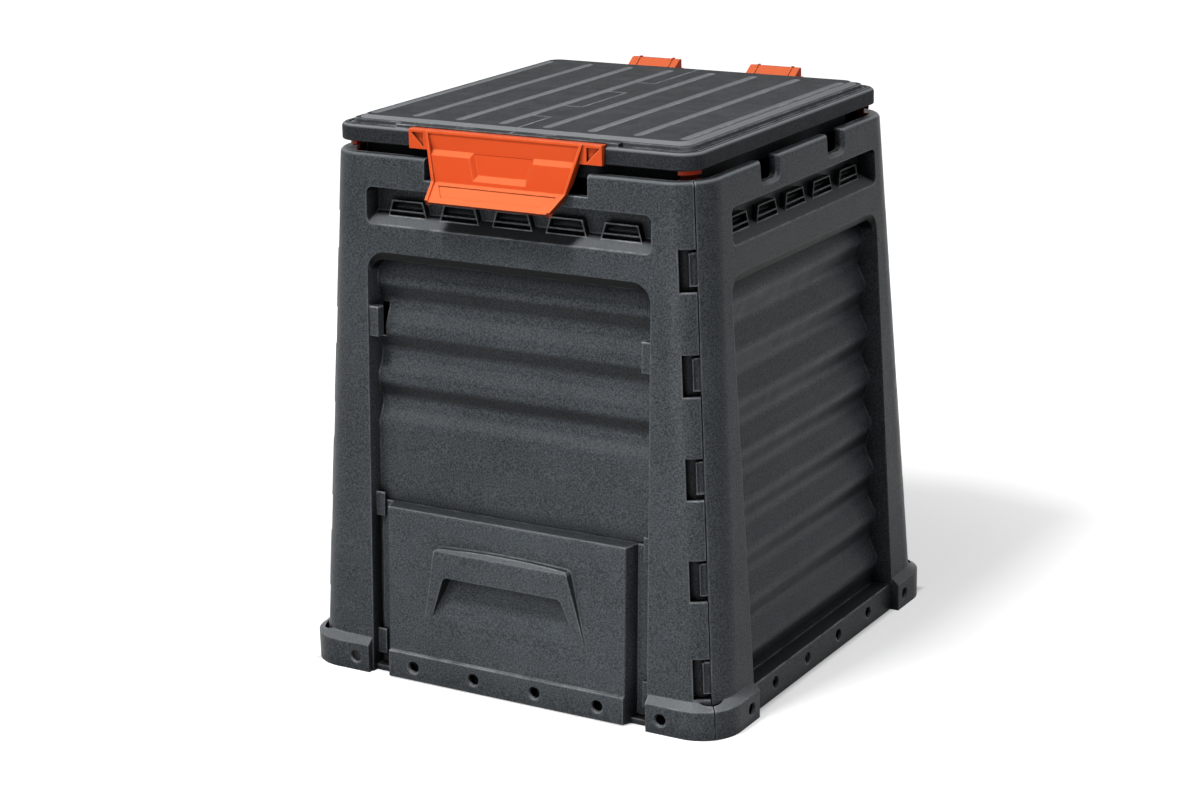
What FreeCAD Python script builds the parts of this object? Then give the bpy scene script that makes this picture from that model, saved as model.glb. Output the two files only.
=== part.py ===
"""Snap-together garden compost bin: four leaning wall panels, a sliding hatch and a hinged two-part lid.

All sizes are in millimetres. The bin stands on z = 0, centred on the vertical axis, with the
hatch side facing -Y. The four walls lean inwards and lock together at the rounded corners.
"""
import math
import os

import FreeCAD
import Part

V = FreeCAD.Vector
os.makedirs("parts", exist_ok=True)

# plinth feet at the four corners
foot_span = 650.0
foot_corner_r = 56.0
foot_ledge_z = 39.0
foot_slope_z = 47.5
foot_inner_x = 216.0
foot_band = 16.0
foot_core_r = 20.0
foot_skin = 4.0

# leaning walls
wall_base_span = 635.2
wall_top_span = 560.2
wall_h = 710.0
wall_corner_r = 55.0
wall_t = 4.0
wall_top_round = 6.0
wall_flange_w = 14.0
wall_flange_t = 4.0
seam_gap = 1.4

# peg holes round the plinth
peg_r = 7.5
peg_sink_r = 9.2
peg_sink_depth = 1.5
peg_z = 19.5
peg_foot_x = 237.6
peg_row_pitch = 95.6
peg_row_n = 4

# hooks that lock neighbouring walls at the rounded corners
hook_bottoms = (50.5, 179.5, 311.0, 442.5, 574.0)
hook_slot_h = 53.5
hook_slot_from = 21.0
hook_tongue_from = 35.0
hook_tongue_to = 51.0
hook_tongue_drop = 5.0
hook_tongue_t = 3.0
hook_top_gap = 5.0
hook_low_gap = 7.0
hook_rib = 1.6
hook_rib_drop = 2.4

# lap strip behind each row of hook slots
lap_drop = 14.0
lap_t = 2.5
lap_from = 12.0
lap_to = 52.0
lap_web = 2.5
lap_low = 50.0
lap_high = 680.0

# vent recess below the top edge of every wall
vent_half = 209.5
vent_half_hatch_side = 213.5
vent_shift = 7.0
vent_low = 619.5
vent_high = 668.0
vent_depth = 28.0
vent_corner_r = 9.0
vent_sill_rise = 13.5
hood_n = 5
hood_pitch = 80.5
hood_low_half = 30.5
hood_high_half = 24.0
hood_low = 627.5
hood_high = 650.5
hood_reach = 10.0
hood_skin = 2.2
hood_sill = 2.2
hood_bar_z = 635.0
hood_bar_t = 2.2
slat_setback = 8.0
slat_run = 12.0
slat_rise = 12.0
slat_t = 2.0
slat_levels = (628.0, 638.5)

# rippled field between the corner posts
field_half = 213.5
field_top = 572.0
field_low = 38.0
field_corner_r = 22.0
field_bevel_rise = 11.0
field_bevel_deep = 7.0
field_bevel_r = 28.0
ripple_depth = 27.0
ripple_swing = 5.0
ripple_pitch = 66.7
ripple_crest = 542.0
ripple_flat_z = 334.0
ripple_flat_level = 0.75

# recessed skirt between the feet on the three walls without a hatch
skirt_depth = 5.3
skirt_top = 38.0

# finger notches and handle gap in the top edge
notch_x = 96.0
notch_w = 46.0
notch_shift = 3.5
notch_shift_rear = -3.0
notch_low = 683.0
notch_corner_r = 8.0
notch_flare = 4.5
notch_skin = 3.0
notch_deep = 13.0
handle_gap_half = 122.0

# hatch doorway and its guides
door_half = 190.0
door_top = 232.0
sill_h = 8.0
sill_front = 8.0
sill_back = 30.0
guide_reach = 13.5
guide_t = 3.5
guide_back = 16.0
guide_low = (24.0, 59.0)
guide_mid = (219.0, 252.0)
guide_high = (468.0, 508.0)
guide_high_front = 3.0
guide_window_gap = 2.0

# hatch
hatch_face = 4.8
hatch_strip_face = 7.4
hatch_strip_z = 38.5
hatch_front_half = 183.0
hatch_back_half = 190.0
hatch_low = 1.5
hatch_top = 239.5
hatch_top_rise = 1.5
hatch_skin = 3.0
hatch_flange_half = 207.0
hatch_flange_in = 186.0
hatch_flange_top = 241.0
hatch_edge_r = 2.5
hatch_flange_low = 12.0
hatch_flange_t = 3.0
hatch_guide_gap = 1.0
hatch_sill_gap = 1.0
hatch_sill_rest = 1.5
grip_top = 196.0
grip_low = 88.0
grip_top_half = 102.0
grip_low_half = 126.0
grip_rise = 12.0
grip_crown = 3.5
grip_corner_r = 8.0
scoop_top = 157.0
scoop_low = 96.0
scoop_top_half = 90.0
scoop_low_half = 113.0
scoop_deep = 10.0
scoop_ceiling = 9.0
scoop_corner_r = 9.0

# lid shell
lid_span = 539.5
lid_shift_x = -3.5
lid_shift_y = 2.35
lid_corner_r = 30.0
lid_low = 722.0
lid_rim = 744.0
lid_rim_round = 6.0
lid_foot_round = 1.5
lid_bead_w = 9.0
lid_channel_w = 5.0
lid_channel_deep = 1.6
lid_step = 749.0
lid_step_run = 3.0
lid_deck = 753.0
lid_deck_in = 22.0
lid_deck_run = 6.0
lid_skin = 3.5
lid_joint_gap = 0.3
shelf_x = (-172.5, 160.5)
shelf_y = 265.0
clip_slot_w = 24.0
clip_slot_deep = 2.0
clip_slot_y = (248.5, 254.0)
clip_slots_front = (-138.5, -73.5, 47.5, 127.5)
clip_slots_rear = (-86.5, 118.5)
groove_pitch = 66.4
groove_n = 8
groove_w = 11.5
groove_deep = 2.7
groove_front = 223.0
groove_back = 214.0
tab_reach = 30.0
tab_len = 78.0
tab_centres = (-120.0, 75.0)
rib_h = 12.0
rib_t = 2.0
rib_pitch = 88.0
collar_half = 246.0
collar_r = 22.0
collar_t = 2.5
collar_low = 698.0
collar_back = 200.0
clip_gap = 0.3

# lid handle
handle_flange_half = 144.0
handle_flange_y = 275.0
handle_flange_low = 721.5
handle_cap = 747.0
handle_cap_in = 263.0
handle_skirt_gap = 0.5
handle_top_half = 118.0
handle_fold_half = 100.0
handle_lip_half = 92.0
handle_fold_z = 684.0
handle_fold_y = 289.0
handle_lip_z = 664.0
handle_lip_y = 319.0
handle_t = 3.7
handle_cheek = 4.0
handle_proud = 3.5
handle_fold_t = 3.6
handle_fold_fill = 1.4
handle_back_drop = 9.0
handle_lip_gap = 1.5
handle_relief = 6.5
handle_back_t = 3.0
handle_pad_top = 717.0
handle_pad_low = 689.0
handle_pad_top_half = 49.5
handle_pad_low_half = 36.0
handle_cap_t = 3.5
handle_ear_pocket = 4.0
handle_ear_rim = 3.0
lip_panel_from = 6.0
lip_panel_to = 27.0
lip_panel_margin = 12.0
lip_panel_deep = 1.4

# lid hinges at the rear
hinge_axis_y = 275.8
hinge_axis_z = 697.0
hinge_bar_r = 4.0
hinge_bar_fit = 0.06
hinge_knuckle_r = 7.5
hinge_arm_w = 41.0
hinge_arm_y = (269.5, 277.5)
hinge_arm_lap = 14.0
hinge_base_half = 42.0
hinge_base_y = 253.0
hinge_base_z = 746.3
hinge_back_y = 284.0
hinge_hump_half = 38.7
hinge_hump_z = 758.5
hinge_hump_y = (258.0, 278.0)
hinge_ridge_x = 26.5
hinge_ridge_w = 3.0
hinge_ridge_rise = 1.5
hinge_skirt_gap = 0.5
hinge_pocket_y = (275.0, 281.0)
hinge_pocket_half = 36.0
hinge_pocket_top = 752.0

# corner locks under the lid
lock_from = 240.0
lock_plug_half = 265.5
lock_neck_half = 257.0
lock_shoulder_half = 262.0
lock_cap_half = 261.5
lock_band = 13.0
lock_neck_band = 9.5
lock_plug_low = 688.0
lock_shoulder_z = 716.0
lock_cap_z = 727.0
lock_lid_gap = 0.2

foot_half = foot_span / 2.0
wall_base_half = wall_base_span / 2.0
wall_top_half = wall_top_span / 2.0
wall_taper = (wall_base_half - wall_top_half) / wall_h
lean = math.degrees(math.atan(wall_taper))
lid_half = lid_span / 2.0
lid_front = lid_half - lid_shift_y
lid_back = lid_half + lid_shift_y
far = 500.0


def wall_half(z):
    return wall_base_half - wall_taper * z


def turn(p, quarters):
    """Point p turned by quarter turns about the vertical axis."""
    for _ in range(quarters % 4):
        p = V(-p.y, p.x, p.z)
    return p


def turned(shape, quarters):
    out = shape.copy()
    out.rotate(V(0, 0, 0), V(0, 0, 1), 90.0 * quarters)
    return out


def box(x0, x1, y0, y1, z0, z1):
    return Part.makeBox(x1 - x0, y1 - y0, z1 - z0, V(x0, y0, z0))


def fuse(shapes):
    return shapes[0].multiFuse(shapes[1:])


def rounded_square(half, r, z):
    k = half - r
    d = r * math.sqrt(0.5)
    edges = []
    for i in range(4):
        start = turn(V(-k, -half, z), i)
        bend = turn(V(k, -half, z), i)
        mid = turn(V(k + d, -k - d, z), i)
        last = turn(V(half, -k, z), i)
        edges.append(Part.LineSegment(start, bend).toShape())
        edges.append(Part.Arc(bend, mid, last).toShape())
    return Part.Wire(edges)


def block(half, r, z0, z1):
    return Part.Face(rounded_square(half, r, z0)).extrude(V(0, 0, z1 - z0))


def taper_block(half0, r0, z0, half1, r1, z1):
    return Part.makeLoft([rounded_square(half0, r0, z0), rounded_square(half1, r1, z1)], True, True)


def leaning_block(inset, z0, z1):
    r = wall_corner_r - inset
    return taper_block(wall_half(z0) - inset, r, z0, wall_half(z1) - inset, r, z1)


def face_of(points):
    return Part.Face(Part.makePolygon(points + [points[0]]))


def across(profile, x0, x1):
    """Solid with the (y, z) profile, running from x0 to x1."""
    return face_of([V(x0, y, z) for y, z in profile]).extrude(V(x1 - x0, 0, 0))


def inward(outline, y0, y1):
    """Solid with the (x, z) outline, running from y0 to y1."""
    return face_of([V(x, y0, z) for x, z in outline]).extrude(V(0, y1 - y0, 0))


def window(x0, x1, z0, z1, r, y0, y1, square_low=False):
    """Rectangular block along Y with rounded corners, or with only its top corners rounded."""
    solid = box(x0, x1, y0, y1, z0, z1)
    edges = []
    for edge in solid.Edges:
        a, b = edge.Vertexes[0].Point, edge.Vertexes[1].Point
        if abs(a.y - b.y) > 1.0 and (a.z > (z0 + z1) / 2.0 or not square_low):
            edges.append(edge)
    return solid.makeFillet(r, edges)


def on_wall(shape):
    """From the flat layout (y = depth behind the post face) onto the leaning -Y wall."""
    out = shape.copy()
    out.rotate(V(0, 0, 0), V(1, 0, 0), -lean)
    out.translate(V(0, -wall_base_half, 0))
    return out


def corner_wedge(x_sign, angle0, angle1, z0, z1):
    """Wedge about the leaning axis of a corner; angles run from that corner's left-hand wall normal."""
    wires = []
    for z in (z0, z1):
        k = wall_half(z) - wall_corner_r
        pts = [V(x_sign * k, -k, z)]
        for angle in (angle0, angle1):
            c, s = math.cos(math.radians(angle)), math.sin(math.radians(angle))
            step = V(s, -c, 0) if x_sign > 0 else V(-c, -s, 0)
            pts.append(pts[0] + step * 90.0)
        wires.append(Part.makePolygon(pts + [pts[0]]))
    return Part.makeLoft(wires, True, True)


def corner_zone(a, z0, z1):
    """Both corner squares of the -Y side, from |x| = a outwards."""
    return fuse([box(a, far, -far, -a, z0, z1), box(-far, -a, -far, -a, z0, z1)])


def wall_ring():
    outer = leaning_block(0.0, 0.0, wall_h)
    rim = [e for e in outer.Edges if min(v.Z for v in e.Vertexes) > wall_h - 0.5]
    outer = outer.makeFillet(wall_top_round, rim)
    inner = leaning_block(wall_t, -1.0, wall_h - wall_flange_t)
    mouth_r = wall_corner_r - wall_flange_w
    mouth = block(wall_top_half - wall_flange_w, mouth_r, wall_h - wall_flange_t - 1.0, wall_h + 1.0)
    return outer.cut(fuse([inner, mouth]))


def ripple(extra, front, z0, z1, half, flat_z):
    """Block from the wall face back to the rippled surface, moved back by extra and flat below flat_z."""
    pts = []
    steps = int(math.ceil((z1 - z0) / (ripple_pitch / 10.0)))
    for i in range(steps + 1):
        z = z0 + (z1 - z0) * i / steps
        phase = 2.0 * math.pi * (z - ripple_crest) / ripple_pitch
        level = math.cos(phase) if z > flat_z else ripple_flat_level
        pts.append(V(-half, ripple_depth + extra - ripple_swing * level, z))
    curve = Part.BSplineCurve()
    curve.interpolate(pts)
    a, b = V(-half, front, z0), V(-half, front, z1)
    edges = [curve.toShape(), Part.makeLine(pts[-1], b), Part.makeLine(b, a), Part.makeLine(a, pts[0])]
    return Part.Face(Part.Wire(edges)).extrude(V(2.0 * half, 0, 0))


def arch_wire(y, half, z_low, z_high, r):
    """Outline in the plane at y, square below and rounded at the two upper corners."""
    d = r * (1.0 - math.sqrt(0.5))
    a, b = V(-half, y, z_low), V(half, y, z_low)
    c, e = V(half, y, z_high - r), V(half - r, y, z_high)
    f, g = V(r - half, y, z_high), V(-half, y, z_high - r)
    right = Part.Arc(c, V(half - d, y, z_high - d), e).toShape()
    left = Part.Arc(f, V(d - half, y, z_high - d), g).toShape()
    lines = [Part.makeLine(a, b), Part.makeLine(b, c), right, Part.makeLine(e, f), left, Part.makeLine(g, a)]
    return Part.Wire(lines)


def field_bevel():
    """Bevel along the upper edge of the field and the thicker band behind it."""
    low = field_top - 60.0
    rise = field_bevel_rise / field_bevel_deep
    front = arch_wire(-1.0, field_half, low, field_top + field_bevel_rise + rise, field_bevel_r)
    back = arch_wire(field_bevel_deep, field_half, low, field_top, field_corner_r)
    wide = field_half + wall_t
    top = field_top + field_bevel_rise + wall_t
    band = window(-wide, wide, low, top, field_bevel_r + wall_t, 1.0, field_bevel_deep + wall_t, True)
    return band, Part.makeLoft([front, back], True, True)


def field(z_low, flat_z):
    """Tray behind the rippled field and the hollow in front of it."""
    wide = field_half + wall_t
    top = field_top + wall_t
    r = field_corner_r
    tray = ripple(wall_t, 1.0, z_low - wall_t, top, wide, flat_z)
    tray = tray.common(window(-wide, wide, z_low - wall_t, top, r + wall_t, 0.0, 60.0, True))
    hollow = ripple(0.0, -12.0, z_low, field_top, field_half, flat_z)
    hollow = hollow.common(window(-field_half, field_half, z_low, field_top, r, -13.0, 60.0, True))
    return tray, hollow


def hood_solid(x, inset, y0, y1):
    """Tapered prism of one louvre hood, its outline moved in by inset."""
    low, high = hood_low_half - inset, hood_high_half - inset
    z0, z1 = hood_low + inset, hood_high - inset
    return trapezoid(low, z0, high, z1, y0, y1).translated(V(x, 0, 0))


def hoods(shift):
    """Louvre hoods standing out from the back of the vent recess, their openings, bars and slats."""
    y0, y1 = vent_depth - hood_reach, vent_depth + wall_t
    s0 = y0 + slat_setback
    s1 = s0 + slat_run
    shells, holes, bars = [], [], []
    for i in range(hood_n):
        x = shift + hood_pitch * (i - (hood_n - 1) / 2.0)
        shells.append(hood_solid(x, 0.0, y0, s1 - 1.0))
        low = hood_low + hood_sill
        wide = hood_low_half
        gate = box(x - wide, x + wide, -far, far, low, hood_high)
        holes.append(hood_solid(x, hood_skin, y0 - 1.0, s1 + 5.0).common(gate))
        z0, z1 = hood_bar_z, hood_bar_z + hood_bar_t
        inside = hood_solid(x, hood_skin - 0.5, y0, s1 - 1.0)
        bars.append(across([(y0, z0), (y0 + 3.0, z0), (y0 + 3.0, z1), (y0, z1)], x - wide, x + wide).common(inside))
        for z in slat_levels:
            top = z + slat_rise
            slat = [(s0, z), (s1, top), (s1, top + slat_t), (s0, z + slat_t)]
            bars.append(across(slat, x - wide, x + wide).common(inside))
    return shells, holes, bars


def notch_wire(x, y, grow):
    """Outline of a top notch at depth y, round at its two lower corners."""
    top = wall_h + 20.0
    half = notch_w / 2.0 + grow
    flat = arch_wire(y, half, -top, -(notch_low - grow), notch_corner_r + grow)
    flat.rotate(V(0, 0, 0), V(0, 1, 0), 180.0)
    flat.translate(V(x, 0, 0))
    return flat


def top_notch(x):
    """Lining and flared opening of a finger notch in the top edge."""
    w = notch_w / 2.0 + notch_skin
    lining = box(x - w, x + w, 1.0, notch_deep, notch_low - notch_skin, wall_h - 2.0)
    slot = Part.Face(notch_wire(x, -10.0, 0.0)).extrude(V(0, 50.0, 0))
    outer = notch_wire(x, -1.0, notch_flare + 1.0)
    flare = Part.makeLoft([outer, notch_wire(x, notch_flare, 0.0)], True, True)
    return lining, slot.fuse(flare)


def with_notches(panel, shift):
    """Panel with its pair of finger notches, both moved sideways by shift."""
    linings, openings = [], []
    for x in (shift - notch_x, shift + notch_x):
        lining, opening = top_notch(x)
        linings.append(on_wall(lining))
        openings.append(on_wall(opening))
    return panel.fuse(linings).cut(fuse(openings)).removeSplitter()


def peg_hole(x, face_y):
    """Through hole with a dished rim, its mouth on a face at y = face_y, facing -Y."""
    bore = Part.makeCylinder(peg_r, 14.0, V(x, face_y - 2.0, peg_z), V(0, 1, 0))
    dish = Part.makeCone(peg_sink_r, peg_r, peg_sink_depth, V(x, face_y, peg_z), V(0, 1, 0))
    return bore.fuse(dish)


def row_x():
    return [peg_row_pitch * (i - (peg_row_n - 1) / 2.0) for i in range(peg_row_n)]


def feet():
    """Foot shells of the two corners of the -Y side and the space under them, open to the inside."""
    top = wall_half(foot_slope_z)
    outer = block(foot_half, foot_corner_r, 0.0, foot_ledge_z)
    slope = taper_block(foot_half, foot_corner_r, foot_ledge_z, top, wall_corner_r, foot_slope_z)
    core = block(foot_half - foot_band, foot_core_r, -1.0, foot_slope_z + 1.0)
    solid = outer.fuse(slope).cut(core).common(corner_zone(foot_inner_x, -1.0, foot_slope_z + 1.0))
    lining = foot_half - foot_skin
    hollow = block(lining, foot_corner_r - foot_skin, -1.0, foot_ledge_z - foot_skin)
    hollow = hollow.common(corner_zone(foot_inner_x + foot_skin, -1.0, foot_ledge_z))
    return solid, hollow


def hook_slots():
    """Openings near the right-hand seam that take the neighbour's tongues."""
    return [corner_wedge(1, hook_slot_from, 47.0, z, z + hook_slot_h) for z in hook_bottoms]


def hook_tongues():
    """Tongues past the left-hand seam, each with a raised rib along two edges."""
    skin = leaning_block(hook_tongue_drop, 0.0, wall_h - 20.0)
    skin = skin.cut(leaning_block(hook_tongue_drop + hook_tongue_t, -1.0, wall_h - 19.0))
    band = leaning_block(hook_rib_drop, 0.0, wall_h - 20.0)
    band = band.cut(leaning_block(hook_tongue_drop + hook_tongue_t, -1.0, wall_h - 19.0))
    out = []
    for z in hook_bottoms:
        z0, z1 = z + hook_low_gap, z + hook_slot_h - hook_top_gap
        out.append(skin.common(corner_wedge(-1, hook_tongue_from, hook_tongue_to, z0, z1)))
        out.append(band.common(corner_wedge(-1, hook_tongue_from, hook_tongue_from + hook_rib, z0, z1)))
        out.append(band.common(corner_wedge(-1, hook_tongue_from, hook_tongue_to, z0, z0 + hook_rib)))
    return out


def slot_lap():
    """Strip behind the neighbour's hook slots, carried past the left-hand seam on a narrow web."""
    skin = leaning_block(lap_drop, 0.0, wall_h - 1.0).cut(leaning_block(lap_drop + lap_t, -1.0, wall_h))
    web = leaning_block(wall_t - 0.5, 0.0, wall_h - 1.0).cut(leaning_block(lap_drop + 0.5, -1.0, wall_h))
    strip = skin.common(corner_wedge(-1, lap_from, lap_to, lap_low, lap_high))
    join = web.common(corner_wedge(-1, lap_to - lap_web, lap_to, lap_low, lap_high))
    return strip.fuse(join)


def quarter():
    """Everything between the two seams of the -Y side."""
    tip = seam_gap / 2.0 * math.sqrt(2.0)
    pts = [V(0, -tip, -5.0), V(-far, -far - tip, -5.0), V(far, -far - tip, -5.0)]
    return face_of(pts).extrude(V(0, 0, wall_h + 20.0))


def hinge_bars():
    """Round bars across the notches of the rear wall, in the layout of the -Y side."""
    reach = notch_w / 2.0 + notch_skin / 2.0
    bars = []
    for x in (notch_shift_rear - notch_x, notch_shift_rear + notch_x):
        start = V(x - reach, -hinge_axis_y, hinge_axis_z)
        bars.append(Part.makeCylinder(hinge_bar_r, 2.0 * reach, start, V(1, 0, 0)))
    return bars


def wall_panel(ring, hatch_side):
    """One wall panel in the place of the -Y side."""
    shift = 0.0 if hatch_side else vent_shift
    half = vent_half_hatch_side if hatch_side else vent_half
    foot, foot_hollow = feet()
    tray, hollow = field(-2.0, ripple_flat_z) if hatch_side else field(field_low, -far)
    a, b = shift - half, shift + half
    z0, z1 = vent_low - wall_t, vent_high + wall_t
    back = vent_depth + wall_t
    vent_tray = window(a - wall_t, b + wall_t, z0, z1, vent_corner_r + wall_t, 1.0, back)
    vent_hollow = window(a, b, vent_low, vent_high, vent_corner_r, -10.0, vent_depth)
    band, bevel = field_bevel()
    adds = [on_wall(tray), on_wall(band), on_wall(vent_tray), foot]
    cuts = [on_wall(hollow), on_wall(bevel), on_wall(vent_hollow), foot_hollow]

    if hatch_side:
        w = handle_gap_half
        lining = box(-w - notch_skin, w + notch_skin, 1.0, notch_deep, notch_low - notch_skin, wall_h - 2.0)
        adds.append(on_wall(lining))
        cuts.append(on_wall(box(-w, w, -10.0, 40.0, notch_low, wall_h + 20.0)))
        cuts.append(on_wall(box(-door_half, door_half, -10.0, 80.0, -10.0, door_top)))
        z0, z1 = guide_high[0] - guide_window_gap, guide_high[1] + guide_window_gap
        inner = field_half - guide_reach + 1.0
        for x0, x1 in ((-field_half, -inner), (inner, field_half)):
            cuts.append(on_wall(box(x0, x1, guide_back + 2.0, 60.0, z0, z1)))
    else:
        w = foot_inner_x
        plate = box(-w - 2.0, w + 2.0, skirt_depth, skirt_depth + wall_t, -2.0, skirt_top)
        adds.append(on_wall(plate))
        cuts.append(on_wall(box(-w, w, -20.0, skirt_depth, -10.0, skirt_top)))

    panel = fuse([ring] + adds).cut(fuse(cuts))

    shells, holes, bars = hoods(shift)
    low = vent_low
    slope = vent_sill_rise / vent_depth
    y0, y1 = 1.0, vent_depth + 1.0
    sill = [(y0, low - 1.0), (y0, low + slope * y0), (y1, low + slope * y1), (y1, low - 1.0)]
    panel = panel.fuse([on_wall(s) for s in shells] + [on_wall(across(sill, a - 1.0, b + 1.0))])
    panel = panel.cut([on_wall(s) for s in holes])
    extra = [on_wall(s) for s in bars]
    if hatch_side:
        y0, y1 = sill_front - wall_base_half, sill_back - wall_base_half
        extra.append(box(-field_half - 2.0, field_half + 2.0, y0, y1, 0.0, sill_h))
        fronts = (guide_back - guide_t, guide_back - guide_t, guide_high_front)
        for (z0, z1), front in zip((guide_low, guide_mid, guide_high), fronts):
            inner = field_half - guide_reach
            extra.append(on_wall(box(inner, field_half + 1.0, front, guide_back, z0, z1)))
            extra.append(on_wall(box(-field_half - 1.0, -inner, front, guide_back, z0, z1)))
    panel = panel.fuse(extra)

    panel = panel.common(quarter())
    panel = panel.cut(hook_slots()).fuse(hook_tongues() + [slot_lap()])
    holes = [peg_hole(x, -foot_half) for x in (-peg_foot_x, peg_foot_x)]
    if not hatch_side:
        skirt_y = -wall_half(peg_z) + skirt_depth
        holes += [peg_hole(x, skirt_y) for x in row_x()]
    panel = panel.cut(holes + [box(-far, far, -far, far, -40.0, 0.0)])
    return panel.removeSplitter()


def rect_wire(half, y, z0, z1):
    pts = [V(-half, y, z0), V(half, y, z0), V(half, y, z1), V(-half, y, z1)]
    return Part.makePolygon(pts + [pts[0]])


def edges_along_y(solid, z_above):
    """Edges of the solid that run along Y and lie above a height."""
    found = []
    for edge in solid.Edges:
        a, b = edge.Vertexes[0].Point, edge.Vertexes[-1].Point
        if abs(a.y - b.y) > 1.0 and abs(a.x - b.x) < 0.01 and min(a.z, b.z) > z_above:
            found.append(edge)
    return found


def trapezoid(low_half, z0, top_half, z1, y0, y1):
    return inward([(-low_half, z0), (low_half, z0), (top_half, z1), (-top_half, z1)], y0, y1)


def grip_hood():
    """Wedge-shaped hood over the hatch grip with a gently arched top edge."""
    y0 = 1.0 - hatch_face
    y1 = -hatch_face - grip_rise - 1.0
    low_l, low_r = V(-grip_low_half, y0, grip_low), V(grip_low_half, y0, grip_low)
    top_l, top_r = V(-grip_top_half, y0, grip_top), V(grip_top_half, y0, grip_top)
    crown = Part.Arc(top_r, V(0, y0, grip_top + grip_crown), top_l).toShape()
    sides = [Part.makeLine(low_l, low_r), Part.makeLine(low_r, top_r), crown, Part.makeLine(top_l, low_l)]
    outline = Part.Face(Part.Wire(sides)).extrude(V(0, y1 - y0, 0))
    outline = outline.makeFillet(grip_corner_r, edges_along_y(outline, grip_top - 1.0))
    front = -hatch_face - grip_rise
    top = grip_top + grip_crown + 1.0
    profile = [(y0, grip_low), (-hatch_face, grip_low), (front, grip_top - 8.0), (front, grip_top - 3.0)]
    profile += [(front + 5.0, top), (y0, top)]
    return outline.common(across(profile, -grip_low_half, grip_low_half))


def scoop(grow):
    """Hand scoop under the grip hood; grow adds its skin."""
    z0, z1 = scoop_low - grow, scoop_top + grow
    deep = scoop_deep + grow
    front = -2.0 - hatch_face if grow else -40.0
    mouth = -hatch_face - 1.0 + 1.4 * grow
    profile = [(front, z0), (mouth, z0), (deep, z1 - scoop_ceiling - grow), (deep, z1), (front, z1)]
    if grow:
        profile = [(mouth - 1.0, z0), (mouth, z0), (deep, z1 - scoop_ceiling - grow), (deep, z1)]
        profile.append((1.0 - hatch_face, z1))
    low, top = scoop_low_half + grow, scoop_top_half + grow
    solid = trapezoid(low, z0, top, z1, -50.0, 30.0)
    solid = solid.makeFillet(scoop_corner_r + grow, edges_along_y(solid, z1 - 1.0))
    return solid.common(across(profile, -low, low))


def hatch():
    """Sliding hatch: drafted box with a back flange, a bottom strip and the moulded grip."""
    flange_y = guide_back + hatch_guide_gap
    top = hatch_top + hatch_top_rise
    front = rect_wire(hatch_front_half, -hatch_face, hatch_low, hatch_top)
    back = rect_wire(hatch_back_half, flange_y + 1.0, hatch_low, top)
    shell = Part.makeLoft([front, back], True, True)
    fronts = [e for e in shell.Edges if max(v.Y for v in e.Vertexes) < 0.1 - hatch_face]
    shell = shell.makeFillet(hatch_edge_r, [e for e in fronts if max(v.Z for v in e.Vertexes) > 10.0])
    s = hatch_skin
    front = rect_wire(hatch_front_half - s, s - hatch_face, hatch_low - 5.0, hatch_top - s)
    back = rect_wire(hatch_back_half - s, flange_y + 1.5, hatch_low - 5.0, top - s)
    hollow = Part.makeLoft([front, back], True, True)
    strip = box(-hatch_front_half, hatch_front_half, -hatch_strip_face, 0.5 - hatch_face, hatch_low, hatch_strip_z)
    y0, y1 = flange_y, flange_y + hatch_flange_t
    flange = box(-hatch_flange_half, hatch_flange_half, y0, y1, hatch_flange_low, hatch_flange_top)
    gate = box(-hatch_flange_in, hatch_flange_in, y0 - 3.0, y1 + 1.0, -5.0, hatch_top - s)
    body = fuse([shell.cut(hollow), flange.cut(gate), strip, grip_hood(), scoop(s)])
    over_sill = box(-far, far, sill_front - hatch_sill_gap, 60.0, -10.0, sill_h + hatch_sill_rest)
    body = body.cut([scoop(0.0), over_sill] + [peg_hole(x, -hatch_strip_face) for x in row_x()])
    body = body.removeSplitter()
    return on_wall(body)


def lid_steps(inset, drop):
    """The two low steps that raise the deck above the rim, moved in by inset and down by drop."""
    foot = lid_half - lid_bead_w - lid_channel_w - inset
    r = lid_corner_r - lid_bead_w - lid_channel_w
    z0, z1, z2 = lid_rim - lid_channel_deep - 0.5 - drop, lid_step - drop, lid_deck - drop
    lower = taper_block(foot, r, z0, foot - lid_step_run, r, z1)
    top = lid_half - lid_deck_in - inset
    return lower.fuse(taper_block(top, r, z1 - 0.1, top - lid_deck_run, r, z2))


def lid_shelf(grow):
    """Flat stretch of the front edge where the handle is clipped on, in place of the rim."""
    x0, x1 = shelf_x
    back = lid_half - lid_bead_w - lid_channel_w - lid_step_run - 1.0
    return box(x0 - grow, x1 + grow, -shelf_y - grow, -back, lid_rim - 2.5, lid_step + grow)


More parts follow.
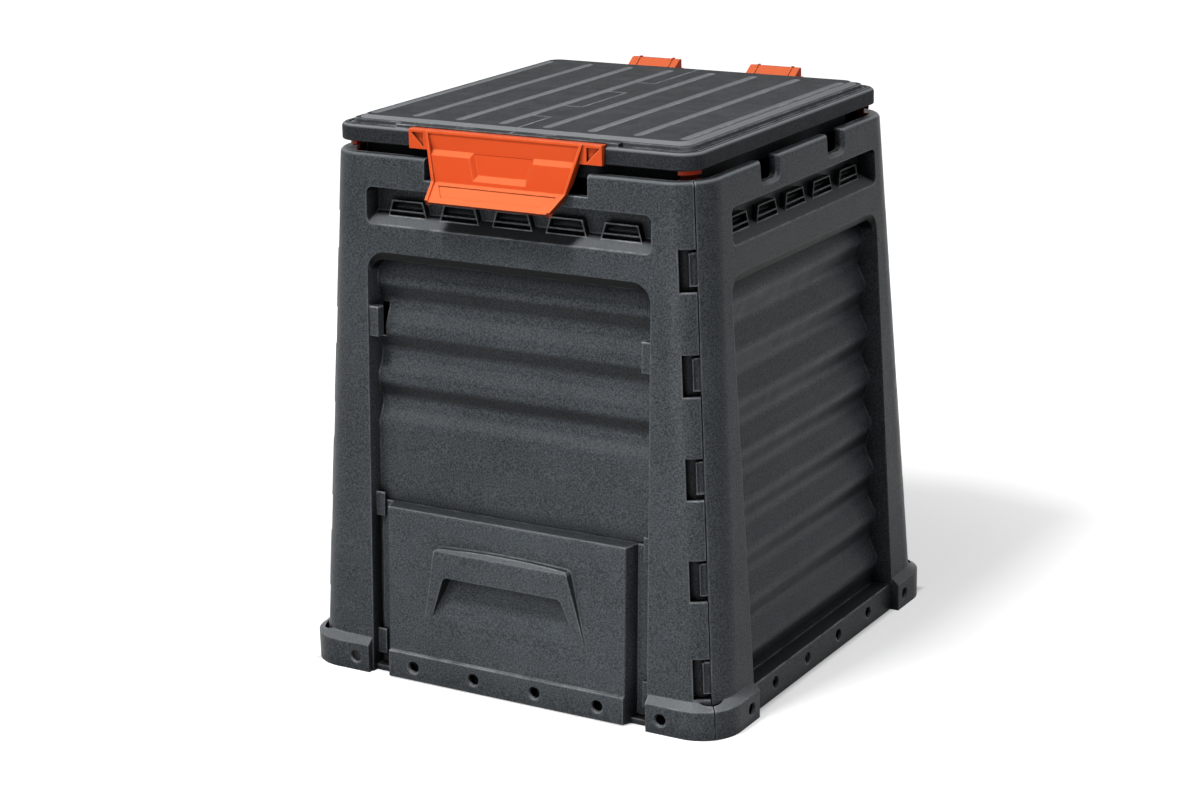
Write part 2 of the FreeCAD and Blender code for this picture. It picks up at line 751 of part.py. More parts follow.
def lid_shell():
    """Whole lid before it is divided: skirt, rim, raised deck with grooves, and ribs beneath."""
    r = lid_corner_r
    skirt = block(lid_half, r, lid_low, lid_rim)
    rim = [e for e in skirt.Edges if min(v.Z for v in e.Vertexes) > lid_rim - 0.5]
    skirt = skirt.makeFillet(lid_rim_round, rim)
    foot = [e for e in skirt.Edges if max(v.Z for v in e.Vertexes) < lid_low + 0.5]
    skirt = skirt.makeFillet(lid_foot_round, foot)
    outer, inner = lid_half - lid_bead_w, lid_half - lid_bead_w - lid_channel_w
    z = lid_rim - lid_channel_deep
    channel = block(outer, r - lid_bead_w, z, lid_rim + 1.0)
    channel = channel.cut(block(inner, r - lid_bead_w - lid_channel_w, z - 1.0, lid_rim + 2.0))
    s = lid_skin
    hollow = block(lid_half - s, r - s, lid_low - 1.0, lid_rim - s)
    shell = skirt.cut(channel).fuse([lid_steps(0.0, 0.0), lid_shelf(0.0)]).cut(hollow.fuse(lid_steps(s, s)))
    ribs = []
    reach = lid_half - lid_deck_in - 12.0
    z0, z1 = lid_deck - s - rib_h, lid_deck - s + 0.5
    for i in (-2, -1, 1, 2):
        p = i * rib_pitch
        ribs.append(box(p - rib_t / 2.0, p + rib_t / 2.0, -reach, reach, z0, z1))
        ribs.append(box(-reach, reach, p - rib_t / 2.0, p + rib_t / 2.0, z0, z1))
    grooves = []
    round_r = (groove_w * groove_w / 4.0 + groove_deep * groove_deep) / (2.0 * groove_deep)
    z = lid_deck - groove_deep + round_r
    for i in range(groove_n):
        x = groove_pitch * (i - (groove_n - 1) / 2.0)
        grooves.append(Part.makeCylinder(round_r, groove_front + groove_back, V(x, -groove_front, z), V(0, 1, 0)))
        for y in (-groove_front, groove_back):
            grooves.append(Part.makeSphere(round_r, V(x, y, z)))
    pockets = []
    y0, y1 = clip_slot_y
    z0 = lid_step - clip_slot_deep
    for x in clip_slots_front:
        pockets.append(box(x - clip_slot_w / 2.0, x + clip_slot_w / 2.0, -y1, -y0, z0, lid_deck + 1.0))
    for x in clip_slots_rear:
        pockets.append(box(x - clip_slot_w / 2.0, x + clip_slot_w / 2.0, y0, y1, z0, lid_deck + 1.0))
    whole = shell.fuse(ribs).cut(grooves + pockets).translated(V(lid_shift_x, lid_shift_y, 0))
    return whole.fuse(lid_collar())


def lid_collar():
    """Low wall under the lid that hangs down inside the bin, open towards the hinges."""
    top = lid_step - 0.5
    collar = block(collar_half, collar_r, collar_low, top)
    collar = collar.cut(block(collar_half - collar_t, collar_r - collar_t, collar_low - 1.0, top + 1.0))
    return collar.common(box(-far, far, -far, collar_back, 0.0, far * 2.0))


def lid_outline(low):
    """Filled outline of the lid from a height upwards, grown by the gap that clipped-on pieces keep."""
    g = clip_gap
    skirt = block(lid_half + g, lid_corner_r, low, lid_rim + g)
    return skirt.fuse([lid_steps(-g, -g), lid_shelf(g)]).translated(V(lid_shift_x, lid_shift_y, 0))


def lid_halves():
    """Left and right lid halves with a tabbed joint down the middle."""
    shell = lid_shell()
    g = lid_joint_gap / 2.0
    x = lid_shift_x
    z0, z1 = collar_low - 10.0, lid_deck + 10.0
    right = [box(x + g, far, -far, far, z0, z1)]
    keep_out = [box(x - g, far, -far, far, z0, z1)]
    for y in tab_centres:
        a, b = y - tab_len / 2.0, y + tab_len / 2.0
        right.append(box(x + g - tab_reach, x + g + 1.0, a + g, b - g, z0, z1))
        keep_out.append(box(x - g - tab_reach, x + 1.0, a - g, b + g, z0, z1))
    return shell.cut(fuse(keep_out)), shell.common(fuse(right))


def handle_outline(inset):
    """Front outline of the handle, running through in depth."""
    pts = [(handle_lip_half - inset, handle_lip_z - 12.0), (handle_lip_half - inset, handle_lip_z)]
    pts += [(handle_fold_half - inset, handle_fold_z), (handle_top_half - inset, handle_cap + 1.0)]
    pts += [(-x, z) for x, z in reversed(pts)]
    return inward(pts, -far, -200.0)


def handle_face_y(z, behind):
    """Y of the sloping face at height z, moved back by behind."""
    top_y = handle_flange_y + 0.5
    slope = (handle_fold_y - top_y) / (handle_cap - handle_fold_z)
    return behind - top_y - slope * (handle_cap - z)


def handle_ears():
    """Flange on the lid's front edge with its two ribbed ears."""
    half = handle_flange_half
    inner_y = lid_front + handle_skirt_gap
    cap_low = lid_rim + clip_gap
    ears = box(-half, half, -handle_flange_y, -inner_y, handle_flange_low, handle_cap)
    cap = box(-half, half, -handle_flange_y, -handle_cap_in, cap_low, handle_cap)
    rim = handle_ear_rim
    pockets = []
    for side in (-1.0, 1.0):
        a, b = side * (half - rim), side * (handle_top_half + 4.0)
        z0, z1 = handle_flange_low + rim, handle_cap - rim - 1.0
        y = -handle_flange_y
        pockets.append(inward([(a, z1), (b, z1), (b, z0)], y - 1.0, y + handle_ear_pocket))
    return ears.fuse(cap).cut(pockets)


def handle_relief_solid(wide):
    """Hollow between cap, pads and ledge in the sloping face, with slanting sides."""
    deep = handle_relief
    top = handle_cap - handle_cap_t
    front = -far
    low, pad = handle_pad_low, handle_pad_top
    upper = [(front, pad), (handle_face_y(pad, 0.0), pad), (handle_face_y(pad + deep, deep), pad + deep)]
    upper += [(handle_face_y(top, deep), top), (front, top)]
    lower = [(front, low), (handle_face_y(low, 0.0), low), (handle_face_y(low + deep, deep), low + deep)]
    lower += [(handle_face_y(top, deep), top), (front, top)]
    grow = 20.0
    sides = []
    for y, swell in ((-handle_fold_y - grow, deep + grow), (handle_face_y(pad, deep) + 3.0, -3.0)):
        a, b = handle_pad_low_half + swell - deep, handle_pad_top_half + swell - deep
        lean_out = (b - a) / (pad - low)
        z1 = top + 5.0
        c = a + lean_out * (z1 - low)
        pts = [V(-a, y, low), V(a, y, low), V(c, y, z1), V(-c, y, z1)]
        sides.append(Part.makePolygon(pts + [pts[0]]))
    middle = Part.makeLoft(sides, True, True)
    return across(upper, -wide, wide).fuse(across(lower, -wide, wide).common(middle))


def lip_panel():
    """Shallow panel let into the upper side of the lip."""
    dy, dz = handle_lip_y - handle_fold_y, handle_lip_z - handle_fold_z
    length = math.hypot(dy, dz)
    uy, uz = -dy / length, dz / length
    ny, nz = uz, -uy
    half0 = handle_fold_half - lip_panel_margin
    half1 = half0 - (handle_fold_half - handle_lip_half) - lip_panel_margin / 2.0
    loops = []
    for lift in (8.0, -lip_panel_deep):
        pts = []
        for along, half in ((lip_panel_from, half0), (lip_panel_to, half1)):
            grow = 1.0 if lift > 0.0 else 0.0
            a = along + (grow if along == lip_panel_to else -grow)
            y = -handle_fold_y + uy * a + ny * lift
            z = handle_fold_z + uz * a + nz * lift
            pts.append((V(-half - grow, y, z), V(half + grow, y, z)))
        ring = [pts[0][0], pts[0][1], pts[1][1], pts[1][0]]
        loops.append(Part.makePolygon(ring + [ring[0]]))
    return Part.makeLoft(loops, True, True)


def lid_handle():
    """Pull handle clipped over the front rim: flange with ears, sloping face with two pads, lip."""
    inner_y = lid_front + handle_skirt_gap
    cap_low = lid_rim + clip_gap
    top_y = handle_flange_y + 0.5
    lip_len = math.hypot(handle_lip_y - handle_fold_y, handle_fold_z - handle_lip_z)
    nx = (handle_fold_z - handle_lip_z) / lip_len * handle_t
    nz = (handle_lip_y - handle_fold_y) / lip_len * handle_t
    behind = handle_relief + handle_back_t
    ledge = handle_pad_low + handle_relief
    back = [(handle_face_y(ledge, behind), ledge), (-inner_y, handle_cap - handle_back_drop), (-inner_y, cap_low)]
    face = [(-handle_cap_in, handle_cap), (-top_y, handle_cap), (-handle_fold_y, handle_fold_z)]
    face += [(-handle_lip_y, handle_lip_z), (nx - handle_lip_y, handle_lip_z - nz)]
    fold = (handle_fold_t - handle_fold_y, handle_fold_z + handle_lip_gap)
    face += [(nx + handle_fold_fill - handle_fold_y, handle_fold_z - nz + 0.4), fold]
    face += back + [(-handle_cap_in, cap_low)]
    out = handle_proud
    cheek = [(-inner_y, handle_cap), (-top_y - 1.5, handle_cap), (-handle_fold_y - out, handle_fold_z + 1.0)]
    cheek += [(-handle_lip_y - 1.0, handle_lip_z + out - 1.0), (nx - handle_lip_y, handle_lip_z - nz - 1.5)]
    cheek += [(-handle_fold_y + 3.0, handle_fold_z - 8.0), fold] + back[:2]

    wide = handle_top_half + 1.0
    body = across(face, -wide, wide).common(handle_outline(0.0)).cut(handle_relief_solid(wide))
    cheeks = across(cheek, -wide, wide).common(handle_outline(0.0)).cut(handle_outline(handle_cheek))
    handle = fuse([body.cut(lip_panel()), cheeks, handle_ears()]).translated(V(lid_shift_x, 0, 0))
    return handle.cut(lid_outline(lid_low - 30.0)).removeSplitter()


def hinge(x):
    """Lid hinge: humped leaf over the rear rim, hollow behind, and an arm down to its knuckle."""
    inner_y = lid_back + hinge_skirt_gap
    low = lid_rim + clip_gap
    half = hinge_base_half
    y0, y1 = hinge_hump_y
    leaf = [(hinge_base_y, low), (hinge_base_y, hinge_base_z), (hinge_back_y, hinge_base_z)]
    leaf += [(hinge_back_y, lid_low + 0.5), (inner_y, lid_low + 0.5), (inner_y, low)]
    hump = [(y0, hinge_base_z - 1.0), (y1, hinge_hump_z), (hinge_back_y, hinge_hump_z)]
    hump += [(hinge_back_y, hinge_base_z - 1.0)]
    rise = hinge_ridge_rise
    ridge = [(y0 - 2.0, hinge_base_z - 1.0), (y1 - 1.0, hinge_hump_z + rise)]
    ridge += [(hinge_back_y, hinge_hump_z + rise), (hinge_back_y, hinge_base_z - 1.0)]
    wide = hinge_hump_half
    parts = [across(leaf, -half, half), across(hump, -wide, wide)]
    for side in (-1.0, 1.0):
        c = side * hinge_ridge_x
        parts.append(across(ridge, c - hinge_ridge_w / 2.0, c + hinge_ridge_w / 2.0))
    p0, p1 = hinge_pocket_y
    reach = hinge_pocket_half
    solid = fuse(parts).cut(box(-reach, reach, p0, p1, lid_low - 1.0, hinge_pocket_top))
    w = hinge_arm_w / 2.0
    a0, a1 = hinge_arm_y
    arm = box(-w, w, a0, a1, hinge_axis_z, lid_low + hinge_arm_lap)
    start = V(-w, hinge_axis_y, hinge_axis_z)
    knuckle = Part.makeCylinder(hinge_knuckle_r, 2.0 * w, start, V(1, 0, 0))
    bore = Part.makeCylinder(hinge_bar_r + hinge_bar_fit, 2.0 * w + 4.0, start - V(2, 0, 0), V(1, 0, 0))
    out = solid.fuse([arm, knuckle]).cut(bore).translated(V(x, 0, 0))
    return out.cut(lid_outline(lid_low - clip_gap)).removeSplitter()


def corner_lock():
    """Angle-shaped lock in the front right corner: plug inside the walls, shoulder, cap inside the lid."""
    top = lid_low - lock_lid_gap
    seat = wall_h + 0.1
    thin = lid_corner_r - lid_skin
    levels = [(lock_plug_half, wall_corner_r - wall_flange_w - 0.5, lock_band, lock_plug_low, seat)]
    levels.append((lock_neck_half, thin, lock_neck_band, seat, lock_shoulder_z))
    levels.append((lock_shoulder_half, thin, lock_band, lock_shoulder_z, top))
    levels.append((lock_cap_half, thin, lock_band, top, lock_cap_z))
    rings = []
    for half, r, band, z0, z1 in levels:
        inner = block(half - band, r - band, z0 - 1.0, z1 + 1.0)
        rings.append(block(half, r, z0, z1).cut(inner))
    zone = box(lock_from, far, -far, -lock_from, lock_plug_low - 1.0, lock_cap_z + 1.0)
    return fuse(rings).common(zone).removeSplitter()


def save(name, shape):
    shape.exportStep("parts/" + name + ".step")


ring = wall_ring()
plain = wall_panel(ring, False)
save("front_panel", wall_panel(ring, True))
side = with_notches(plain, notch_shift)
save("right_panel", turned(side, 1))
save("rear_panel", turned(with_notches(plain, notch_shift_rear).fuse(hinge_bars()), 2))
save("left_panel", turned(side, 3))
save("hatch", hatch())
left, right = lid_halves()
save("lid_left_half", left)
save("lid_right_half", right)
save("lid_handle", lid_handle())
save("hinge_left", hinge(-notch_shift_rear - notch_x))
save("hinge_right", hinge(-notch_shift_rear + notch_x))
lock = corner_lock()
corner_names = ("front_right", "rear_right", "rear_left", "front_left")
for i, name in enumerate(corner_names):
    save("corner_lock_" + name, turned(lock, i))
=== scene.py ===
"""Looks of a snap-together garden compost bin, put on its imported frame."""
import math

import bpy
from mathutils import Matrix, Vector

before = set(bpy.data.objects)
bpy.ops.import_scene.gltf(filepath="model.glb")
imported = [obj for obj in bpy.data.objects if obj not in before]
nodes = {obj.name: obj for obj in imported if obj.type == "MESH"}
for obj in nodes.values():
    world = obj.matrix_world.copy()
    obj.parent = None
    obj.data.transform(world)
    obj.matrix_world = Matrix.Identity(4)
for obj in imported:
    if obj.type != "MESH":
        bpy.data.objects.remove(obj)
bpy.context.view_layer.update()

# The four wall panels: charcoal polypropylene, injection moulded with a fine eroded grain. They
# lean inwards, hook into each other at the rounded corners and stand on feet of their own.
# Their edges are rubbed pale in patches, their upward edges and slopes carry a painted highlight,
# and their undersides and recesses painted shade.
WALL_DARK = (0.0195, 0.0225, 0.0255)
WALL_PALE = (0.0640, 0.0725, 0.0800)
# The next colour is for rubbed edges and for the painted highlights on upward edges and slopes.
WALL_WEAR_AND_HIGHLIGHT = (0.420, 0.440, 0.455)
WALL_GRAIN = 430.0
WALL_EDGE_RADIUS = 0.0016
WALL_ROUGHNESS = 0.36
# How strongly upward slopes are painted paler, as a painted highlight.
WALL_SLOPE_HIGHLIGHT = 0.24
WALL_SPECKLE = 0.80
WALL_RELIEF = 0.30
# How far round a recess its painted shade reaches.
RECESS_SHADE_REACH = 0.042


def emptied_tree(owner):
    """The shader tree of a material or a world, emptied."""
    owner.use_nodes = True
    owner.node_tree.nodes.clear()
    return owner.node_tree


def spread(tree, value, low, high, to_low=0.0, to_high=1.0, eased=False):
    """A value stretched from one span onto another, straight or eased at both ends."""
    made = tree.nodes.new("ShaderNodeMapRange")
    if eased:
        made.interpolation_type = "SMOOTHSTEP"
    made.inputs["From Min"].default_value = low
    made.inputs["From Max"].default_value = high
    made.inputs["To Min"].default_value = to_low
    made.inputs["To Max"].default_value = to_high
    tree.links.new(value, made.inputs["Value"])
    return made.outputs["Result"]


def joined(tree, operation, first, second, clamped=False):
    """Two values brought to one by a sum, a product or the larger of them."""
    made = tree.nodes.new("ShaderNodeMath")
    made.operation = operation
    made.use_clamp = clamped
    tree.links.new(first, made.inputs[0])
    tree.links.new(second, made.inputs[1])
    return made.outputs["Value"]


def split(tree, vector):
    """The X, Y and Z of a vector."""
    made = tree.nodes.new("ShaderNodeSeparateXYZ")
    tree.links.new(vector, made.inputs["Vector"])
    return made.outputs


def noise(tree, place, scale, detail, roughness):
    """Cloudy noise in the piece's own metres."""
    made = tree.nodes.new("ShaderNodeTexNoise")
    made.inputs["Scale"].default_value = scale
    made.inputs["Detail"].default_value = detail
    made.inputs["Roughness"].default_value = roughness
    tree.links.new(place, made.inputs["Vector"])
    return made.outputs["Fac"]


def rounded(tree, radius, samples):
    """The surface's direction as if its edges were rounded to a radius."""
    made = tree.nodes.new("ShaderNodeBevel")
    made.samples = samples
    made.inputs["Radius"].default_value = radius
    return made.outputs["Normal"]


def blended(tree, share, first, second):
    """Two colours mixed by a share, each of them written out or led in from a node."""
    made = tree.nodes.new("ShaderNodeMix")
    made.data_type = "RGBA"
    colour_sockets = [socket for socket in made.inputs if socket.type == "RGBA"]
    for socket, colour in zip(colour_sockets, (first, second)):
        if isinstance(colour, tuple):
            socket.default_value = (*colour, 1.0)
        else:
            tree.links.new(colour, socket)
    tree.links.new(share, made.inputs[0])
    return next(socket for socket in made.outputs if socket.type == "RGBA")


def moulded_plastic(name, dark, pale, wear_and_highlight, grain, edge_radius, roughness, slope_highlight,
                    relief=WALL_RELIEF, speckle=WALL_SPECKLE, recess_shade_reach=RECESS_SHADE_REACH):
    """Grained plastic: speckled colour, rubbed edges, painted highlights on upward edges and
    slopes, and painted shade under it and in recesses.
    """
    material = bpy.data.materials.new(name)
    tree = emptied_tree(material)
    link = tree.links.new
    out = tree.nodes.new("ShaderNodeOutputMaterial")
    shader = tree.nodes.new("ShaderNodeBsdfPrincipled")
    shader.inputs["IOR"].default_value = 1.49
    shader.inputs["Specular IOR Level"].default_value = 0.08
    place = tree.nodes.new("ShaderNodeTexCoord").outputs["Object"]
    facing = tree.nodes.new("ShaderNodeNewGeometry").outputs["Normal"]
    height = split(tree, facing)["Z"]

    # The colour: wide faint clouds with the grain's speckle over them.
    clouds = noise(tree, place, 7.0, 4.0, 0.60)
    grains = noise(tree, place, grain, 3.0, 0.70)
    smears = noise(tree, place, 38.0, 5.0, 0.65)
    clouded = spread(tree, clouds, 0.30, 0.70, 0.35, 0.65)
    speckled = spread(tree, grains, 0.30, 0.70, -speckle, speckle)
    body = blended(tree, joined(tree, "ADD", clouded, speckled, clamped=True), dark, pale)

    # Edges that stick out are rubbed pale in patches, and where they face upwards that paleness
    # is a painted highlight.
    wide = rounded(tree, 3.0 * edge_radius, 6)
    turn = tree.nodes.new("ShaderNodeVectorMath")
    turn.operation = "DOT_PRODUCT"
    link(wide, turn.inputs[0])
    link(facing, turn.inputs[1])
    on_edge = spread(tree, turn.outputs["Value"], 0.990, 0.86)
    patches = spread(tree, smears, 0.38, 0.62, 0.25, 0.85)
    skyward = spread(tree, split(tree, wide)["Z"], 0.0, 0.45, 0.12, 1.0)
    edge_wear_and_highlight = joined(tree, "MULTIPLY", on_edge, joined(tree, "MULTIPLY", skyward, patches),
                    clamped=True)

    # Painted highlight: slopes that face upwards are painted paler; level faces and walls keep
    # their colour.
    slope = spread(tree, height, 0.28, 0.86, eased=True)
    short_of_level = spread(tree, height, 0.90, 0.996, slope_highlight, 0.0, eased=True)
    wear_and_slope_highlight = joined(tree, "MAXIMUM", edge_wear_and_highlight, joined(tree, "MULTIPLY", slope, short_of_level))

    # Painted shade: undersides and recesses are painted darker, and lose their painted
    # highlights.
    underside_shade = spread(tree, height, -0.48, -0.05, 0.06, 1.0, eased=True)
    recess_shade = tree.nodes.new("ShaderNodeAmbientOcclusion")
    recess_shade.samples = 6
    recess_shade.inputs["Distance"].default_value = recess_shade_reach
    unshaded = spread(tree, recess_shade.outputs["AO"], 0.16, 0.78, 0.04, 1.0, eased=True)
    shaded_body = tree.nodes.new("ShaderNodeVectorMath")
    shaded_body.operation = "SCALE"
    link(body, shaded_body.inputs[0])
    link(joined(tree, "MULTIPLY", underside_shade, unshaded), shaded_body.inputs["Scale"])
    colour = blended(tree, joined(tree, "MULTIPLY", wear_and_slope_highlight, unshaded),
                     shaded_body.outputs["Vector"], wear_and_highlight)
    link(colour, shader.inputs["Base Color"])

    # The surface: uneven gloss, and the grain as a shallow relief over softened edges.
    gloss = spread(tree, smears, 0.30, 0.70, roughness - 0.06, roughness + 0.07)
    link(gloss, shader.inputs["Roughness"])
    bumps = tree.nodes.new("ShaderNodeBump")
    bumps.inputs["Strength"].default_value = relief
    bumps.inputs["Distance"].default_value = 0.0004
    link(grains, bumps.inputs["Height"])
    link(rounded(tree, edge_radius, 4), bumps.inputs["Normal"])
    link(bumps.outputs["Normal"], shader.inputs["Normal"])
    link(shader.outputs["BSDF"], out.inputs["Surface"])
    return material


def finish_node(name, material):
    """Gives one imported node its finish."""
    mesh = nodes[name].data
    if not mesh.materials:
        mesh.materials.append(material)
    for slot in nodes[name].material_slots:
        slot.material = material


wall_plastic = moulded_plastic("wall_plastic", WALL_DARK, WALL_PALE, WALL_WEAR_AND_HIGHLIGHT, WALL_GRAIN,
                               WALL_EDGE_RADIUS, WALL_ROUGHNESS, WALL_SLOPE_HIGHLIGHT)
for side in ("front", "right", "rear", "left"):
    finish_node(side + "_panel", wall_plastic)

# The four corner locks: small angles of the same plastic, smooth from a polished mould, their
# orange-red painted down to dark red as painted shade from the lid above them. They plug into the
# open corners of the wall tops and hold neighbouring panels together.
LOCK_SHADED_DARK = (0.34, 0.026, 0.010)
LOCK_SHADED_PALE = (0.44, 0.038, 0.014)
LOCK_WEAR_AND_HIGHLIGHT = (0.60, 0.11, 0.05)
# How strongly upward slopes of the orange parts are painted paler, as a painted highlight.
POLISHED_SLOPE_HIGHLIGHT = 0.50
POLISHED_SPECKLE = 0.10
shaded_lock_plastic = moulded_plastic("shaded_lock_plastic", LOCK_SHADED_DARK, LOCK_SHADED_PALE, LOCK_WEAR_AND_HIGHLIGHT, grain=700.0,
                               edge_radius=0.0010, roughness=0.40, slope_highlight=POLISHED_SLOPE_HIGHLIGHT,
                               relief=0.08, speckle=POLISHED_SPECKLE)
for corner in ("front_right", "rear_right", "rear_left", "front_left"):
    finish_node("corner_lock_" + corner, shaded_lock_plastic)

# The sliding hatch: a drafted box of the charcoal plastic in a finer grain, painted a little
# paler than the walls as painted light. Its back flange runs behind the walls' guide tabs, and a
# hooded scoop lets the fingers lift it; its recesses, the scoop's mouth among them, take painted
# shade from further off.
HATCH_LIT_DARK = (0.0230, 0.0265, 0.0300)
HATCH_LIT_PALE = (0.0730, 0.0825, 0.0910)
HATCH_RECESS_SHADE_REACH = 0.085
lit_hatch_plastic = moulded_plastic("lit_hatch_plastic", HATCH_LIT_DARK, HATCH_LIT_PALE, WALL_WEAR_AND_HIGHLIGHT, grain=470.0,
                                edge_radius=WALL_EDGE_RADIUS, roughness=WALL_ROUGHNESS,
                                slope_highlight=WALL_SLOPE_HIGHLIGHT, recess_shade_reach=HATCH_RECESS_SHADE_REACH)
finish_node("hatch", lit_hatch_plastic)

# The lid: two charcoal mouldings joined down the middle by tabs, with long grooves in the deck.
# Weather has dulled it, so it is rougher than the walls, and its colour is deeper, with a strong
# painted highlight on its upward-facing rims and groove sides.
LID_DARK = (0.0100, 0.0115, 0.0130)
LID_PALE = (0.0290, 0.0325, 0.0365)
lid_plastic = moulded_plastic("lid_plastic", LID_DARK, LID_PALE, WALL_WEAR_AND_HIGHLIGHT, grain=450.0,
                              edge_radius=0.0015, roughness=0.62, slope_highlight=0.42)
for side in ("left", "right"):
    finish_node("lid_%s_half" % side, lid_plastic)

# The pull handle: a bright orange-red moulding clipped over the lid's front rim, its face in two
# raised pads and its lip flared for the fingers.
HANDLE_DARK = (0.57, 0.064, 0.015)
HANDLE_PALE = (0.67, 0.088, 0.021)
HANDLE_WEAR_AND_HIGHLIGHT = (0.92, 0.24, 0.09)
HANDLE_GRAIN = 650.0
HANDLE_RELIEF = 0.06
# Its rubbed edges and upward slopes are painted paler, as painted highlights.
handle_plastic = moulded_plastic("handle_plastic", HANDLE_DARK, HANDLE_PALE, HANDLE_WEAR_AND_HIGHLIGHT,
                                 HANDLE_GRAIN, edge_radius=0.0012, roughness=0.38,
                                 slope_highlight=POLISHED_SLOPE_HIGHLIGHT, relief=HANDLE_RELIEF,
                                 speckle=POLISHED_SPECKLE)
finish_node("lid_handle", handle_plastic)

# The two rear hinges: the handle's plastic painted darker and redder as painted shade, clipped
# over the lid's rear rim, with ridged humps and knuckles that turn on the rear wall's bars.
HINGE_SHADED_DARK = (0.46, 0.036, 0.012)
HINGE_SHADED_PALE = (0.56, 0.052, 0.017)
shaded_hinge_plastic = moulded_plastic("shaded_hinge_plastic", HINGE_SHADED_DARK, HINGE_SHADED_PALE, HANDLE_WEAR_AND_HIGHLIGHT,
                                HANDLE_GRAIN, edge_radius=0.0010, roughness=0.40,
                                slope_highlight=POLISHED_SLOPE_HIGHLIGHT, relief=HANDLE_RELIEF,
                                speckle=POLISHED_SPECKLE)
for side in ("left", "right"):
    finish_node("hinge_" + side, shaded_hinge_plastic)

# The floor: a wide pale sheet of matt board that keeps the bin's shadow. To the camera and in
# gloss it glows to white, less close to the bin, and not at all beneath it, where no light falls.
FLOOR_SIDE = 60.0
FLOOR_COLOUR = (0.80, 0.80, 0.80)
WHITE = (1.0, 1.0, 1.0, 1.0)
GLOW_NEAR, GLOW_FAR = 0.52, 1.0
GLOW_NEAR_REACH, GLOW_FAR_REACH = 0.45, 1.6
PLINTH_INSIDE, PLINTH_OUTSIDE = 0.306, 0.322


def vector_step(tree, operation, vector):
    """One step of vector arithmetic on a single vector."""
    made = tree.nodes.new("ShaderNodeVectorMath")
    made.operation = operation
    tree.links.new(vector, made.inputs[0])
    return made.outputs


half = FLOOR_SIDE / 2.0
floor_mesh = bpy.data.meshes.new("floor")
floor_mesh.from_pydata([(-half, -half, 0.0), (half, -half, 0.0), (half, half, 0.0),
                        (-half, half, 0.0)], [], [(0, 1, 2, 3)])
floor = bpy.data.objects.new("floor", floor_mesh)
bpy.context.scene.collection.objects.link(floor)

floor_paint = bpy.data.materials.new("floor_paint")
paint = emptied_tree(floor_paint)
spot = paint.nodes.new("ShaderNodeTexCoord").outputs["Object"]
rays = paint.nodes.new("ShaderNodeLightPath").outputs
seen = joined(paint, "MAXIMUM", rays["Is Camera Ray"], rays["Is Transmission Ray"])
seen = joined(paint, "MAXIMUM", seen, rays["Is Glossy Ray"])
away = vector_step(paint, "LENGTH", spot)["Value"]
lift = spread(paint, away, GLOW_NEAR_REACH, GLOW_FAR_REACH, GLOW_NEAR, GLOW_FAR, eased=True)
plan = split(paint, vector_step(paint, "ABSOLUTE", spot)["Vector"])
off_centre = joined(paint, "MAXIMUM", plan["X"], plan["Y"])
clear_of_bin = spread(paint, off_centre, PLINTH_INSIDE, PLINTH_OUTSIDE)
glow = paint.nodes.new("ShaderNodeEmission")
glow.inputs["Color"].default_value = WHITE
paint.links.new(joined(paint, "MULTIPLY", seen, joined(paint, "MULTIPLY", clear_of_bin, lift)),
                glow.inputs["Strength"])
board = paint.nodes.new("ShaderNodeBsdfDiffuse")
board.inputs["Color"].default_value = (*FLOOR_COLOUR, 1.0)
both = paint.nodes.new("ShaderNodeAddShader")
paint.links.new(board.outputs["BSDF"], both.inputs[0])
paint.links.new(glow.outputs["Emission"], both.inputs[1])
paint.links.new(both.outputs["Shader"],
                paint.nodes.new("ShaderNodeOutputMaterial").inputs["Surface"])
floor_mesh.materials.append(floor_paint)

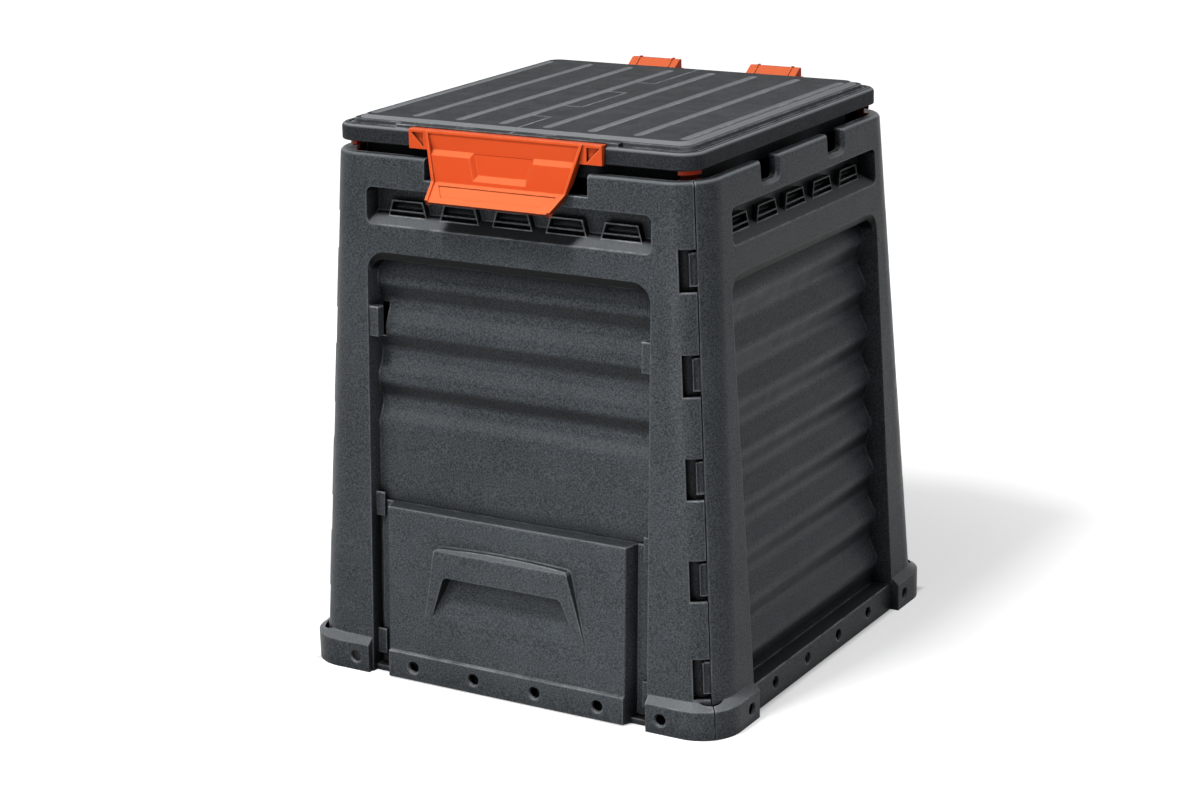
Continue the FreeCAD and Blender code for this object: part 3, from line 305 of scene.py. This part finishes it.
# The room: a dim pale room round the bin that looks white to the camera and in gloss, with a
# key softbox high on the camera's left, one low in front and one above the right-hand wall.
ROOM_STRENGTH = 0.07
WHITE_STRENGTH = 1.0
SOFTBOX_AIM = Vector((0.0, 0.0, 0.35))
SOFTBOXES = (
    ("low_softbox", (0.24, -1.25, 0.34), 0.36, 5.2),
    ("key_softbox", (-0.25, -1.35, 2.95), 0.50, 74.0),
    ("side_softbox", (1.90, 0.20, 2.90), 0.50, 18.0),
)
world = bpy.data.worlds.new("studio")
bpy.context.scene.world = world
studio = emptied_tree(world)
rays = studio.nodes.new("ShaderNodeLightPath").outputs
swap = studio.nodes.new("ShaderNodeMixShader")
studio.links.new(joined(studio, "MAXIMUM", rays["Is Camera Ray"], rays["Is Glossy Ray"]),
                 swap.inputs["Fac"])
for socket, strength in ((1, ROOM_STRENGTH), (2, WHITE_STRENGTH)):
    background = studio.nodes.new("ShaderNodeBackground")
    background.inputs["Color"].default_value = WHITE
    background.inputs["Strength"].default_value = strength
    studio.links.new(background.outputs["Background"], swap.inputs[socket])
studio.links.new(swap.outputs["Shader"],
                 studio.nodes.new("ShaderNodeOutputWorld").inputs["Surface"])
for name, place, size, power in SOFTBOXES:
    lamp = bpy.data.lights.new(name, "AREA")
    lamp.shape = "SQUARE"
    lamp.size = size
    lamp.energy = power
    softbox = bpy.data.objects.new(name, lamp)
    softbox.visible_camera = False
    softbox.location = place
    aim = SOFTBOX_AIM - Vector(place)
    softbox.rotation_euler = aim.to_track_quat("-Z", "Y").to_euler()
    bpy.context.scene.collection.objects.link(softbox)

# The camera: its place and lens were solved from the bin's own outline in the photograph. It
# stands 30.9 degrees round to the right of the hatch side and 16.5 degrees above level, with a
# slight roll.
CAMERA_PLACE = (1.789464, -3.051693, 1.374405)
CAMERA_AZIMUTH = 30.866
CAMERA_ELEVATION = 16.4533
CAMERA_ROLL = -1.3255
CAMERA_LENS = 79.7227
SENSOR_WIDTH = 36.0
SIGHT_END = 100.0
azimuth, elevation, roll = (math.radians(angle) for angle in
                            (CAMERA_AZIMUTH, CAMERA_ELEVATION, CAMERA_ROLL))
back = Vector((math.sin(azimuth) * math.cos(elevation),
               -math.cos(azimuth) * math.cos(elevation), math.sin(elevation)))
level_right = Vector((math.cos(azimuth), math.sin(azimuth), 0.0))
level_up = back.cross(level_right)
right = math.cos(roll) * level_right + math.sin(roll) * level_up
up = math.cos(roll) * level_up - math.sin(roll) * level_right
lens = bpy.data.cameras.new("camera")
lens.sensor_fit = "HORIZONTAL"
lens.sensor_width = SENSOR_WIDTH
lens.lens = CAMERA_LENS
lens.clip_end = SIGHT_END
camera = bpy.data.objects.new("camera", lens)
facing = Matrix((right, up, back)).transposed().to_4x4()
camera.matrix_world = Matrix.Translation(CAMERA_PLACE) @ facing
bpy.context.scene.collection.objects.link(camera)
bpy.context.scene.camera = camera
bpy.context.scene.view_settings.view_transform = "Standard"
